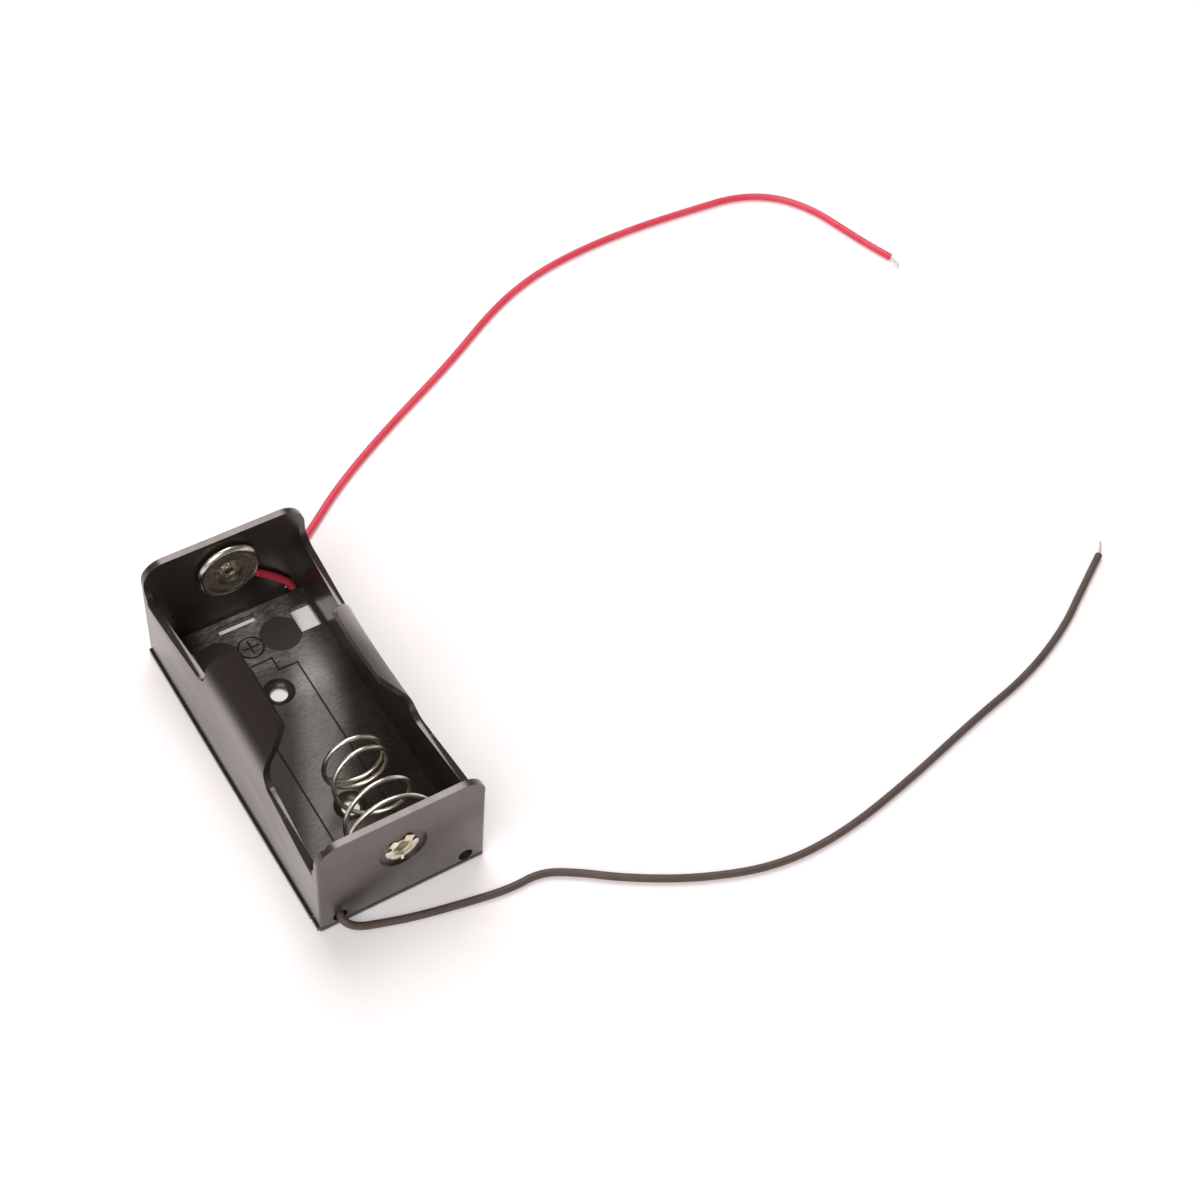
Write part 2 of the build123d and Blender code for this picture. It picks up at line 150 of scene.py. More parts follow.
class NodeNet:
    """A node tree, and the one way in which nodes are added to it."""

    def __init__(self, tree: bpy.types.NodeTree) -> None:
        """Starts with an empty tree."""
        self.tree = tree
        self.tree.nodes.clear()

    def add(
        self,
        kind: str,
        settings: dict[str, str | int] | None = None,
        sockets: dict[str | int, Feed] | None = None,
    ) -> bpy.types.Node:
        """Adds one node.

        Args:
            kind: the node's type.
            settings: its own settings.
            sockets: a value or a link for each input, by name or number.

        Returns:
            The node.
        """
        node = self.tree.nodes.new(kind)
        for name, setting in (settings or {}).items():
            setattr(node, name, setting)
        for name, feed in (sockets or {}).items():
            self.feed(node.inputs[name], feed)
        return node

    def feed(self, socket: Socket, feed: Feed) -> None:
        """Links an input, or sets its own value.

        Args:
            socket: the input.
            feed: a value, another node's output, or a plain number, colour or vector.
        """
        source = feed.socket if isinstance(feed, Value) else feed
        if isinstance(source, Socket):
            self.tree.links.new(source, socket)
        else:
            socket.default_value = source

    def math(self, operation: str, first: Number, second: Number = 0.0) -> Value:
        """One Math node."""
        node = self.add("ShaderNodeMath", {"operation": operation}, {0: first, 1: second})
        return Value(self, node.outputs[0])

    def vector(self, operation: str, first: Feed, second: Feed) -> bpy.types.Node:
        """One Vector Math node on two vectors."""
        return self.add("ShaderNodeVectorMath", {"operation": operation}, {0: first, 1: second})


def off_axis(first: Value, second: Value) -> Value:
    """The distance from an axis, from the two measures across it."""
    return (first * first + second * second) ** 0.5


class ShaderNet(NodeNet):
    """The nodes of one material."""

    def __init__(self, name: str) -> None:
        """Makes a material with an empty tree.

        Args:
            name: the material's name.
        """
        self.material = bpy.data.materials.new(name)
        self.material.use_nodes = True
        super().__init__(self.material.node_tree)
        self.coordinates = self.add("ShaderNodeTexCoord").outputs["Object"]

    def position(self) -> tuple[Value, Value, Value]:
        """The place on the object, in millimetres, along X, Y and Z."""
        parts = self.add("ShaderNodeSeparateXYZ", None, {0: self.coordinates})
        return tuple(Value(self, parts.outputs[axis]) * (1 / MM) for axis in range(3))

    def noise(self, stretch: Point, detail: float = 3.0, roughness: float = 0.5) -> Value:
        """Soft noise from 0 to 1.

        Args:
            stretch: features in a millimetre along each axis.
            detail: how many finer layers it has.
            roughness: how strong the finer layers are.

        Returns:
            The noise.
        """
        scale = tuple(share / MM for share in stretch)
        mapping = {"Vector": self.coordinates, "Scale": scale}
        placed = self.add("ShaderNodeMapping", {"vector_type": "POINT"}, mapping).outputs[0]
        look = {"Vector": placed, "Scale": 1.0, "Detail": detail, "Roughness": roughness}
        return Value(self, self.add("ShaderNodeTexNoise", None, look).outputs["Fac"])

    def between(self, value: Number, low: float, high: float) -> Value:
        """A soft step that is 0 at low and 1 at high, either way round."""
        marks = {"Value": value, "From Min": low, "From Max": high}
        node = self.add("ShaderNodeMapRange", {"interpolation_type": "SMOOTHSTEP"}, marks)
        return Value(self, node.outputs["Result"])

    def blend(self, mask: Number, first: Feed, second: Feed) -> Socket:
        """Two colours mixed by a mask.

        Args:
            mask: 0 shows the first colour and 1 the second.
            first: a colour or a colour output.
            second: a colour or a colour output.

        Returns:
            The mixed colour's output.
        """
        first, second = (self._opaque(colour) for colour in (first, second))
        node = self.add("ShaderNodeMix", {"data_type": "RGBA"}, {0: mask, 6: first, 7: second})
        return node.outputs[2]

    @staticmethod
    def _opaque(colour: Feed) -> Feed:
        """A plain colour with its fourth number."""
        return (*colour, 1.0) if isinstance(colour, tuple) else colour

    def soft_edges(self, radius: float) -> Socket:
        """The surface's direction, rounded over its edges by a radius in millimetres."""
        return self.add("ShaderNodeBevel", {"samples": 4}, {"Radius": radius * MM}).outputs[0]

    def relief(self, height: Value, depth: float, under: Socket | None = None) -> Socket:
        """A surface direction with small relief.

        Args:
            height: the relief, from 0 to 1.
            depth: its depth in millimetres.
            under: a direction that it is laid over.

        Returns:
            The direction's output.
        """
        sockets = {"Height": height, "Distance": depth * MM, "Strength": 1.0}
        if under is not None:
            sockets["Normal"] = under
        return self.add("ShaderNodeBump", None, sockets).outputs[0]

    def principled(self, sockets: dict[str, Feed]) -> Socket:
        """One Principled shader.

        Args:
            sockets: a value or a link for each of the shader's inputs.

        Returns:
            The shader's output.
        """
        colour = self._opaque(sockets["Base Color"])
        shader = self.add("ShaderNodeBsdfPrincipled", None, {**sockets, "Base Color": colour})
        return shader.outputs[0]

    def end(self, shader: Socket) -> Material:
        """Ends the material in a shader."""
        self.add("ShaderNodeOutputMaterial", None, {"Surface": shader})
        return self.material

    def surface(self, sockets: dict[str, Feed]) -> Material:
        """Ends the material in one Principled shader with these inputs."""
        return self.end(self.principled(sockets))


class GeometryNet(NodeNet):
    """A Geometry Nodes tree with named inputs for its sizes."""

    def __init__(self, name: str, sizes: dict[str, str]) -> None:
        """Makes the tree and its inputs.

        Args:
            name: the tree's name.
            sizes: the kind of each named input, such as Float.
        """
        super().__init__(bpy.data.node_groups.new(name, "GeometryNodeTree"))
        face = self.tree.interface
        face.new_socket("Geometry", in_out="INPUT", socket_type="NodeSocketGeometry")
        face.new_socket("Geometry", in_out="OUTPUT", socket_type="NodeSocketGeometry")
        self.identifiers: dict[str, str] = {}
        for label, kind in sizes.items():
            socket = face.new_socket(label, in_out="INPUT", socket_type=f"NodeSocket{kind}")
            self.identifiers[label] = socket.identifier
        self.entry = self.add("NodeGroupInput")

    def size(self, label: str) -> Value:
        """The output of a named input."""
        return Value(self, self.entry.outputs[label])

    def sweep(self, lines: Feed, thickness: Value, sides: Value) -> Socket:
        """Round bars with closed ends along lines.

        Args:
            lines: the curves that the bars follow.
            thickness: the bars' diameter.
            sides: how many sides a bar has.

        Returns:
            The bars.
        """
        ring = self.add(
            "GeometryNodeCurvePrimitiveCircle",
            {"mode": "RADIUS"},
            {"Resolution": sides, "Radius": thickness * 0.5},
        )
        bars = {"Curve": lines, "Profile Curve": ring.outputs[0], "Fill Caps": True}
        return self.add("GeometryNodeCurveToMesh", None, bars).outputs[0]

    def end(self, geometry: Socket, material: Material) -> "GeometryNet":
        """Ends the tree in plain geometry with its material.

        Args:
            geometry: the finished geometry.
            material: what it is dressed in.

        Returns:
            The finished tree.
        """
        plain = self.add("GeometryNodeRealizeInstances", None, {"Geometry": geometry})
        dressed = self.add(
            "GeometryNodeSetMaterial", None, {"Geometry": plain.outputs[0], "Material": material}
        )
        self.add("NodeGroupOutput", None, {"Geometry": dressed.outputs[0]})
        return self

    def shape(self, start: Piece, sizes: dict[str, object], name: str) -> Piece:
        """Runs the tree on an object and keeps only the result, as a plain mesh.

        Args:
            start: the object that the tree begins with, which is used up.
            sizes: a value for each named input.
            name: the new piece's name.

        Returns:
            The new piece.
        """
        modifier = start.modifiers.new("shape", "NODES")
        modifier.node_group = self.tree
        for label, size in sizes.items():
            modifier[self.identifiers[label]] = size
        view = bpy.context.evaluated_depsgraph_get()
        mesh = bpy.data.meshes.new_from_object(start.evaluated_get(view))
        start.modifiers.remove(modifier)
        bpy.data.objects.remove(start)
        return link_piece(name, mesh)


def link_piece(name: str, data: bpy.types.ID) -> Piece:
    """An object at the origin, in the scene, for a mesh, a curve, a lamp or a camera."""
    data.name = name
    piece = bpy.data.objects.new(name, data)
    bpy.context.scene.collection.objects.link(piece)
    return piece


def declare(piece: Piece, node: CadNode) -> Piece:
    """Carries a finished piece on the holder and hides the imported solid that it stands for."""
    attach(piece, "holder")
    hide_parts(node.value)
    return piece


def arc(centre: Place, radius: float, start: float, end: float, steps: int) -> Profile:
    """Points along a circular arc.

    Args:
        centre: the arc's centre.
        radius: its radius.
        start: the first angle, in degrees from the first axis.
        end: the last angle.
        steps: how many steps lie between them.

    Returns:
        The points.
    """
    points = []
    for step in range(steps + 1):
        turn = math.radians(start + (end - start) * step / steps)
        points.append((centre[0] + radius * math.cos(turn), centre[1] + radius * math.sin(turn)))
    return points


def ease(share: float) -> float:
    """A share from 0 to 1 that starts and ends gently."""
    return share * share * (3 - 2 * share)


def soft_step(value: float, low: float, high: float) -> float:
    """0 below the low mark, 1 above the high one, and gentle between them."""
    return ease(min(1.0, max(0.0, (value - low) / (high - low))))


def closed_mesh(built: bmesh.types.BMesh, name: str) -> Mesh:
    """A finished mesh with its faces outwards, from one that is being built."""
    bmesh.ops.recalc_face_normals(built, faces=built.faces)
    mesh = bpy.data.meshes.new(name)
    built.to_mesh(mesh)
    built.free()
    return mesh


def turned_mesh(profile: Profile, steps: int, place: Matrix) -> Mesh:
    """A closed profile turned round an axis.

    Args:
        profile: pairs of radius and height in millimetres, once round a section, which may
            begin and end on the axis.
        steps: how many steps the circle has.
        place: where the axis stands; the profile's height runs along its Z.

    Returns:
        The mesh, with its faces outwards.
    """
    built = bmesh.new()
    rings = []
    for step in range(steps):
        turn = math.tau * step / steps
        across, up = math.cos(turn), math.sin(turn)
        places = [
            place @ Vector((radius * across * MM, radius * up * MM, height * MM))
            for radius, height in profile
        ]
        rings.append([built.verts.new(spot) for spot in places])
    for here, after in zip(rings, rings[1:] + rings[:1]):
        for index in range(len(profile)):
            follow = (index + 1) % len(profile)
            built.faces.new((here[index], after[index], after[follow], here[follow]))
    bmesh.ops.remove_doubles(built, verts=built.verts, dist=1e-7)
    mesh = closed_mesh(built, "turned")
    smooth_mesh(mesh)
    return mesh


def smooth_mesh(mesh: Mesh, sharp_degrees: float = 38.0) -> None:
    """Smooth shading with hard edges kept where faces meet sharply."""
    mesh.shade_smooth()
    mesh.set_sharp_from_angle(angle=math.radians(sharp_degrees))


def metres(points: Sequence[Point]) -> list[Point]:
    """The same points, from millimetres to metres."""
    return [tuple(part * MM for part in point) for point in points]


def open_curve(points: Sequence[Point], kind: str, name: str) -> bpy.types.Curve:
    """An open curve with no thickness.

    Args:
        points: its control points in metres.
        kind: POLY for short straight runs, or NURBS for one smooth curve.
        name: the curve's name.

    Returns:
        The curve.
    """
    curve = bpy.data.curves.new(name, "CURVE")
    curve.dimensions = "3D"
    spline = curve.splines.new(kind)
    spline.points.add(len(points) - 1)
    for target, point in zip(spline.points, points):
        target.co = (*point, 1.0)
    spline.order_u = 3
    spline.use_endpoint_u = True
    return curve


# Finishes


@dataclass(frozen=True)
class MouldedPlastic:
    """Warm near-black moulding: glossy floor with drawn streaks and painted sheen, matt pads,
    scuffed edges with painted glints.

    Places, sizes and bands are in millimetres. A band is the two marks between which
    something fades in, from 0 at the first to 1 at the second.
    """

    colour: Colour = (0.0235, 0.0168, 0.0134)
    streak_colour: Colour = (0.046, 0.036, 0.031)
    painted_sheen_colour: Colour = (0.38, 0.332, 0.298)
    # Painted sheen: a lighter floor colour that stands in for light the far floor reflects.
    pad_colour: Colour = (0.062, 0.05, 0.044)
    # The colour of the pale edge scuffs, which also serve as painted glints.
    scuff_and_glint_colour: Colour = (0.24, 0.21, 0.19)
    shine_tint: Colour = (1.0, 0.82, 0.77)
    roughness: float = 0.26
    floor_roughness: float = 0.36
    coat_roughness: float = 0.24
    dull_roughness: float = 0.8
    index: float = 1.7
    dull_index: float = 1.2
    gloss: float = 0.62
    # Spots on the wall tops where the scuffs and painted glints are thickest, each with its reach.
    scuff_and_glint_spots: tuple[tuple[Point, float], ...] = (
        ((-13.8, -17.4, 14.6), 1.1),
        ((-13.8, 22.0, 15.2), 0.8),
        ((-13.8, 26.0, 19.4), 0.8),
        ((13.8, -15.6, 15.0), 0.9),
        ((13.8, 26.4, 19.8), 0.8),
        ((-12.6, -29.4, 21.6), 0.7),
    )
    edge_radius: float = 0.16
    edge_band: Band = (0.985, 0.93)
    relief_depth: float = 0.005
    floor_top: Band = (1.36, 1.32)
    floor_bed: Band = (0.8, 0.9)
    groove_top: Band = (1.27, 1.22)
    groove_bed: Band = (1.0, 1.05)
    streak_size: Point = (0.9, 5.4, 0.5)
    # Where the painted sheen lies: its fade along the floor, its fade across it and its centre
    # line.
    painted_sheen_along: Band = (15.5, 19.5)
    painted_sheen_across: Band = (11.0, 4.0)
    painted_sheen_centre: float = 1.0
    pad_centre: Place = (5.65, 22.5)
    pad_edge: Band = (3.57, 3.5)
    polish_slant: float = 0.42
    polish_centre: float = 2.2
    polish_across: Band = (6.5, 1.5)
    polish_along: Band = (7.0, 13.0)
    end_walls: Band = (29.2, 28.6)
    left_lip_heights: Band = (15.0, 19.5)
    right_lip_heights: Band = (15.0, 19.0)
    lip_sides: Band = (2.0, 4.0)
    right_lip_along: Band = (9.0, -2.0)
    right_lip_wear: float = 0.6
    wall_sides: Band = (12.9, 13.2)
    wall_heights: Band = (13.9, 14.3)
    wall_along: Band = (11.0, 12.5)
    hole_centre: Place = (11.0, 2.6)
    hole_edge: Band = (1.27, 1.22)

    def material(self) -> Material:
        """The material of the whole moulding."""
        net = ShaderNet("moulded_plastic")
        x, y, z = net.position()
        floor = net.between(z, *self.floor_top) * net.between(z, *self.floor_bed)
        groove = net.between(z, *self.groove_top) * net.between(z, *self.groove_bed)
        streaks = net.noise(self.streak_size, detail=4.0, roughness=0.62)
        drawn = floor * net.between(streaks, 0.36, 0.64)
        pad = self._pad(net)
        patches = net.noise((0.13, 0.1, 0.13))
        grain = net.noise((7.0, 7.0, 7.0), detail=2.0)
        flow = net.noise((0.35, 0.05, 0.25), detail=2.0)
        rounded = net.soft_edges(self.edge_radius)
        scuffed_and_glinting = self._edge_scuffs_and_glints(net, rounded)
        colour = net.blend(drawn * net.between(patches, 0.3, 0.7), self.colour, self.streak_colour)
        # Painted sheen: the far floor's colour is lightened where it would catch reflected light,
        # more on the streaks and patches.
        across = abs(x - self.painted_sheen_centre)
        painted_sheen = floor * net.between(y, *self.painted_sheen_along) * net.between(across, *self.painted_sheen_across)
        painted_sheen = painted_sheen * (0.3 + 0.7 * drawn) * (0.35 + 0.65 * net.between(patches, 0.35, 0.6))
        colour = net.blend(painted_sheen * (1 - groove), colour, self.painted_sheen_colour)
        colour = net.blend(floor * pad, colour, self.pad_colour)
        # Pale edge scuffs, partly painted glints, lighten the colour along the edges and at the
        # listed spots.
        colour = net.blend(scuffed_and_glinting, colour, self.scuff_and_glint_colour)
        wall = self.roughness + 0.10 * net.between(flow, 0.35, 0.7) + 0.06 * grain
        roughness = wall * (1 - floor) + (self.floor_roughness + 0.1 * drawn) * floor
        normal = net.relief(0.4 * grain + 0.3 * drawn, self.relief_depth, rounded)
        both = {"Base Color": colour, "Normal": normal}
        coated = {
            "Roughness": roughness + 0.2 * scuffed_and_glinting,
            "IOR": self.index,
            "Specular Tint": (*self.shine_tint, 1.0),
            "Coat Weight": self.gloss + (1 - self.gloss) * floor,
            "Coat Roughness": self.coat_roughness,
        }
        shiny = net.principled({**both, **coated})
        dull = net.principled({**both, "Roughness": self.dull_roughness, "IOR": self.dull_index})
        ground = self._ground(net, drawn) * (1 - 0.97 * pad) * (1 - 0.9 * groove)
        shine = (1 - floor) * (1 - 0.97 * self._shaded(net)) + floor * ground
        mixed = net.add("ShaderNodeMixShader", None, {0: shine, 1: dull, 2: shiny})
        return net.end(mixed.outputs[0])

    def _pad(self, net: ShaderNet) -> Value:
        """The two round matt pads in the floor's far corners, from 0 to 1."""
        x, y, _ = net.position()
        from_pad = off_axis(abs(x) - self.pad_centre[0], y - self.pad_centre[1])
        return net.between(from_pad, *self.pad_edge)

    def _ground(self, net: ShaderNet, drawn: Value) -> Value:
        """How glossy the floor is, with a polished band along it between the streaks.

        Args:
            net: the moulding's nodes.
            drawn: the streaks, from 0 to 1.

        Returns:
            The gloss, from 0 to 1.
        """
        x, y, _ = net.position()
        across = abs(x - self.polish_slant * y - self.polish_centre)
        level = 0.5 + 0.5 * net.between(y, *self.polish_along)
        band = net.between(across, *self.polish_across)
        return level * (0.22 + 0.78 * band) * (0.6 + 0.4 * drawn)

    def _shaded(self, net: ShaderNet) -> Value:
        """Where gloss is missing: on both lips, on the wall tops and in the lead holes.

        Args:
            net: the moulding's nodes.

        Returns:
            The lack of gloss, from 0 to 1.
        """
        x, y, z = net.position()
        inner, outer = self.lip_sides
        left = net.between(z, *self.left_lip_heights) * net.between(x, -inner, -outer)
        right = self.right_lip_wear * net.between(z, *self.right_lip_heights)
        right = right * net.between(x, inner, outer) * net.between(y, *self.right_lip_along)
        wall = net.between(abs(x), *self.wall_sides) * net.between(z, *self.wall_heights)
        top = wall * net.between(abs(y), *self.wall_along)
        from_hole = off_axis(abs(x) - self.hole_centre[0], z - self.hole_centre[1])
        hole = net.between(from_hole, *self.hole_edge)
        between_ends = net.between(abs(y), *self.end_walls)
        return net.math("MINIMUM", between_ends * (left + right + top) + hole, 1.0)

    def _edge_scuffs_and_glints(self, net: ShaderNet, rounded: Socket) -> Value:
        """Small pale scuffs and painted glints along the edges, thicker at the listed spots.

        Args:
            net: the moulding's nodes.
            rounded: the surface's direction with its edges rounded.

        Returns:
            How strongly the surface shows scuffs and painted glints, from 0 to 1.
        """
        flat = net.add("ShaderNodeNewGeometry").outputs["Normal"]
        facing = net.vector("DOT_PRODUCT", flat, rounded)
        edge = net.between(Value(net, facing.outputs["Value"]), *self.edge_band)
        chips = net.noise((0.55, 0.55, 0.55), detail=4.0, roughness=0.7)
        fine = net.noise((1.6, 1.6, 1.6), detail=4.0, roughness=0.7)
        scuffed_and_glinting = 0.5 * edge * net.between(chips, 0.64, 0.74)
        for place, reach in self.scuff_and_glint_spots:
            spot = tuple(part * MM for part in place)
            away = net.vector("DISTANCE", net.coordinates, spot)
            near = net.between(Value(net, away.outputs["Value"]), reach * MM, 0.2 * reach * MM)
            scuffed_and_glinting = scuffed_and_glinting + near * net.between(fine, 0.45, 0.6)
        return net.math("MINIMUM", scuffed_and_glinting, 1.0)


@dataclass(frozen=True)
class BoreShade:
    """Painted shade in a rivet's bore: the height of its axis, its radius and its colour."""

    height: float
    radius: float
    colour: Colour


@dataclass(frozen=True)
class PlatedMetal:
    """Pressed or drawn metal with a thin plating: fine scratches and a slight warm tarnish."""

    name: str
    colour: Colour
    tarnish: Colour
    # Painted shade in a rivet's bore, where there is one.
    bore: BoreShade | None = None
    roughness: float = 0.2
    cloud_stretch: Point = (0.6, 0.6, 0.6)
    cloud_band: Band = (0.45, 0.72)
    scratch_depth: float = 0.003
    scratch_stretch: Point = (9.0, 9.0, 1.2)
    scratch_band: Band = (0.5, 0.75)

    def material(self) -> Material:
        """The plated metal's material."""
        net = ShaderNet(self.name)
        cloud = net.noise(self.cloud_stretch, detail=2.0)
        scratches = net.noise(self.scratch_stretch, detail=2.0)
        stained = net.between(cloud, *self.cloud_band)
        colour = net.blend(stained, self.colour, self.tarnish)
        # Painted shade: the metal inside a rivet's bore is darkened towards its axis.
        if self.bore is not None:
            x, _, z = net.position()
            radius = off_axis(x, z - self.bore.height)
            inside = net.between(radius, self.bore.radius, 0.85 * self.bore.radius)
            colour = net.blend(inside, colour, self.bore.colour)
        scratched = net.between(scratches, *self.scratch_band)
        roughness = self.roughness + 0.14 * stained + 0.10 * scratched
        return net.surface(
            {
                "Base Color": colour,
                "Metallic": 1.0,
                "Roughness": roughness,
                "Normal": net.relief(scratches, self.scratch_depth),
            }
        )


@dataclass(frozen=True)
class PressedDisc:
    """Nickel plated sheet with the fine turning rings of the pressing tool."""

    colour: Colour = (0.72, 0.665, 0.57)
    tarnish: Colour = (0.56, 0.5, 0.41)
    roughness: float = 0.22
    ring_pitch: float = 0.34
    ring_depth: float = 0.0012
    cloud_band: Band = (0.42, 0.7)
    centre_height: float = DISC_HEIGHT

    def material(self) -> Material:
        """The disc's material."""
        net = ShaderNet("plated_disc")
        x, _, z = net.position()
        radius = off_axis(x, z - self.centre_height)
        wobble = net.noise((0.3, 0.3, 0.3), detail=1.0)
        phase = (radius + 0.12 * wobble) * (math.tau / self.ring_pitch)
        rings = net.math("SINE", phase) * 0.5 + 0.5
        cloud = net.noise((0.5, 0.5, 0.5), detail=2.0)
        stained = net.between(cloud, *self.cloud_band)
        return net.surface(
            {
                "Base Color": net.blend(stained, self.colour, self.tarnish),
                "Metallic": 1.0,
                "Roughness": self.roughness + 0.12 * stained + 0.06 * rings,
                "Normal": net.relief(rings, self.ring_depth),
            }
        )


@dataclass(frozen=True)
class Insulation:
    """Soft extruded insulation with a slightly uneven sheen."""

    name: str
    colour: Colour
    deep: Colour
    roughness: float = 0.36
    cloud_band: Band = (0.35, 0.7)
    grain_depth: float = 0.006

    def material(self) -> Material:
        """The insulation's material."""
        net = ShaderNet(self.name)
        cloud = net.noise((0.22, 0.22, 0.22))
        grain = net.noise((5.0, 5.0, 5.0), roughness=0.6)
        uneven = net.between(cloud, *self.cloud_band)
        return net.surface(
            {
                "Base Color": net.blend(uneven, self.colour, self.deep),
                "Roughness": self.roughness + 0.12 * grain,
                "Normal": net.relief(grain, self.grain_depth),
            }
        )


# Pieces


def wall_place(end: HolderEnd, height: float, into: float, outwards: bool) -> Matrix:
    """A place on an end wall, from which a piece is built along its own Z.

    Args:
        end: the end wall.
        height: the height above the floor's underside, in millimetres.
        into: how far inside the wall's inner face it lies, in millimetres.
        outwards: whether Z points out of the holder and not into the bay.

    Returns:
        The place.
    """
    origin = Vector((0.0, end.value * (INNER_FACE - into) * MM, height * MM))
    ahead = Vector((0.0, end.value * (1.0 if outwards else -1.0), 0.0))
    up = Vector((0.0, 0.0, 1.0))
    side = up.cross(ahead)
    turn = Matrix((side, up, ahead)).transposed().to_4x4()
    return Matrix.Translation(origin) @ turn


@dataclass(frozen=True)
class HolderMoulding:
    """The one-piece moulding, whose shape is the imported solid's own."""

    finish: MouldedPlastic = MouldedPlastic()

    def dress(self) -> Piece:
        """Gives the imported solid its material."""
        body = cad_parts[CadNode.BODY.value]
        body.data.materials.clear()
        body.data.materials.append(self.finish.material())
        return body


@dataclass(frozen=True)
class DiscContact:
    """The positive contact: a pressed disc with a hub, fine ribs and a turned-back rim."""

    radius: float = 5.55
    sheet: float = 0.3
    bore: float = 1.2
    hub_radius: float = 1.7
    hub_depth: float = 0.4
    shoulder_radius: float = 2.9
    standoff: float = 0.95
    rim_radius: float = 0.9
    bead_height: float = 0.25
    bead_start: float = 1.7
    edge_gap: float = 0.55
    rib_radii: tuple[float, ...] = (3.0, 3.7, 4.3)
    rib_height: float = 0.03
    rib_width: float = 0.17
    centre_height: float = DISC_HEIGHT
    steps: int = 144
    samples: int = 60
    finish: PressedDisc = PressedDisc()

    def build(self) -> Piece:
        """Turns the disc's section round its axis."""
        place = wall_place(HolderEnd.POSITIVE, self.centre_height, 0.0, False)
        piece = link_piece("disc_contact", turned_mesh(self.section(), self.steps, place))
        piece.data.materials.append(self.finish.material())
        return declare(piece, CadNode.DISC)

    def front(self, radius: float) -> float:
        """The height of the pressed face at a radius, between its shoulder and its rim."""
        top = self.standoff + self.sheet
        ribs = sum(
            self.rib_height * math.exp(-(((radius - rib) / self.rib_width) ** 2))
            for rib in self.rib_radii
        )
        start, crest = self.radius - self.bead_start, self.radius - self.rim_radius
        return top + ribs + self.bead_height * soft_step(radius, start, crest)

    def sheet_front(self, radius: float) -> float:
        """The front of the sheet, with the shallow dimple that takes the rivet."""
        dimple = 1 - soft_step(radius, self.hub_radius, self.shoulder_radius)
        return self.front(radius) - self.hub_depth * dimple

    def section(self) -> Profile:
        """The section of the sheet, once round."""
        crest = self.standoff + self.sheet + self.bead_height
        rim = (self.radius - self.rim_radius, crest - self.rim_radius)
        span = rim[0] - self.bore
        radii = [self.bore + span * step / self.samples for step in range(self.samples)]
        face = [(radius, self.sheet_front(radius)) for radius in radii]
        face += arc(rim, self.rim_radius, 90.0, 0.0, 12)
        edge = self.sheet / 2
        face += arc((self.radius - edge, self.edge_gap + edge), edge, 0.0, -180.0, 6)
        back = arc(rim, self.rim_radius - self.sheet, 0.0, 90.0, 8)
        back += [(radius, self.sheet_front(radius) - self.sheet) for radius in reversed(radii)]
        return face + back


@dataclass(frozen=True)
class Petal:
    """One torn strip of a rivet's star: its turn from the right, width, reach and upward tilt."""

    turn: float
    width: float = 1.0
    reach: float = 1.0
    tilt: float = 0.0


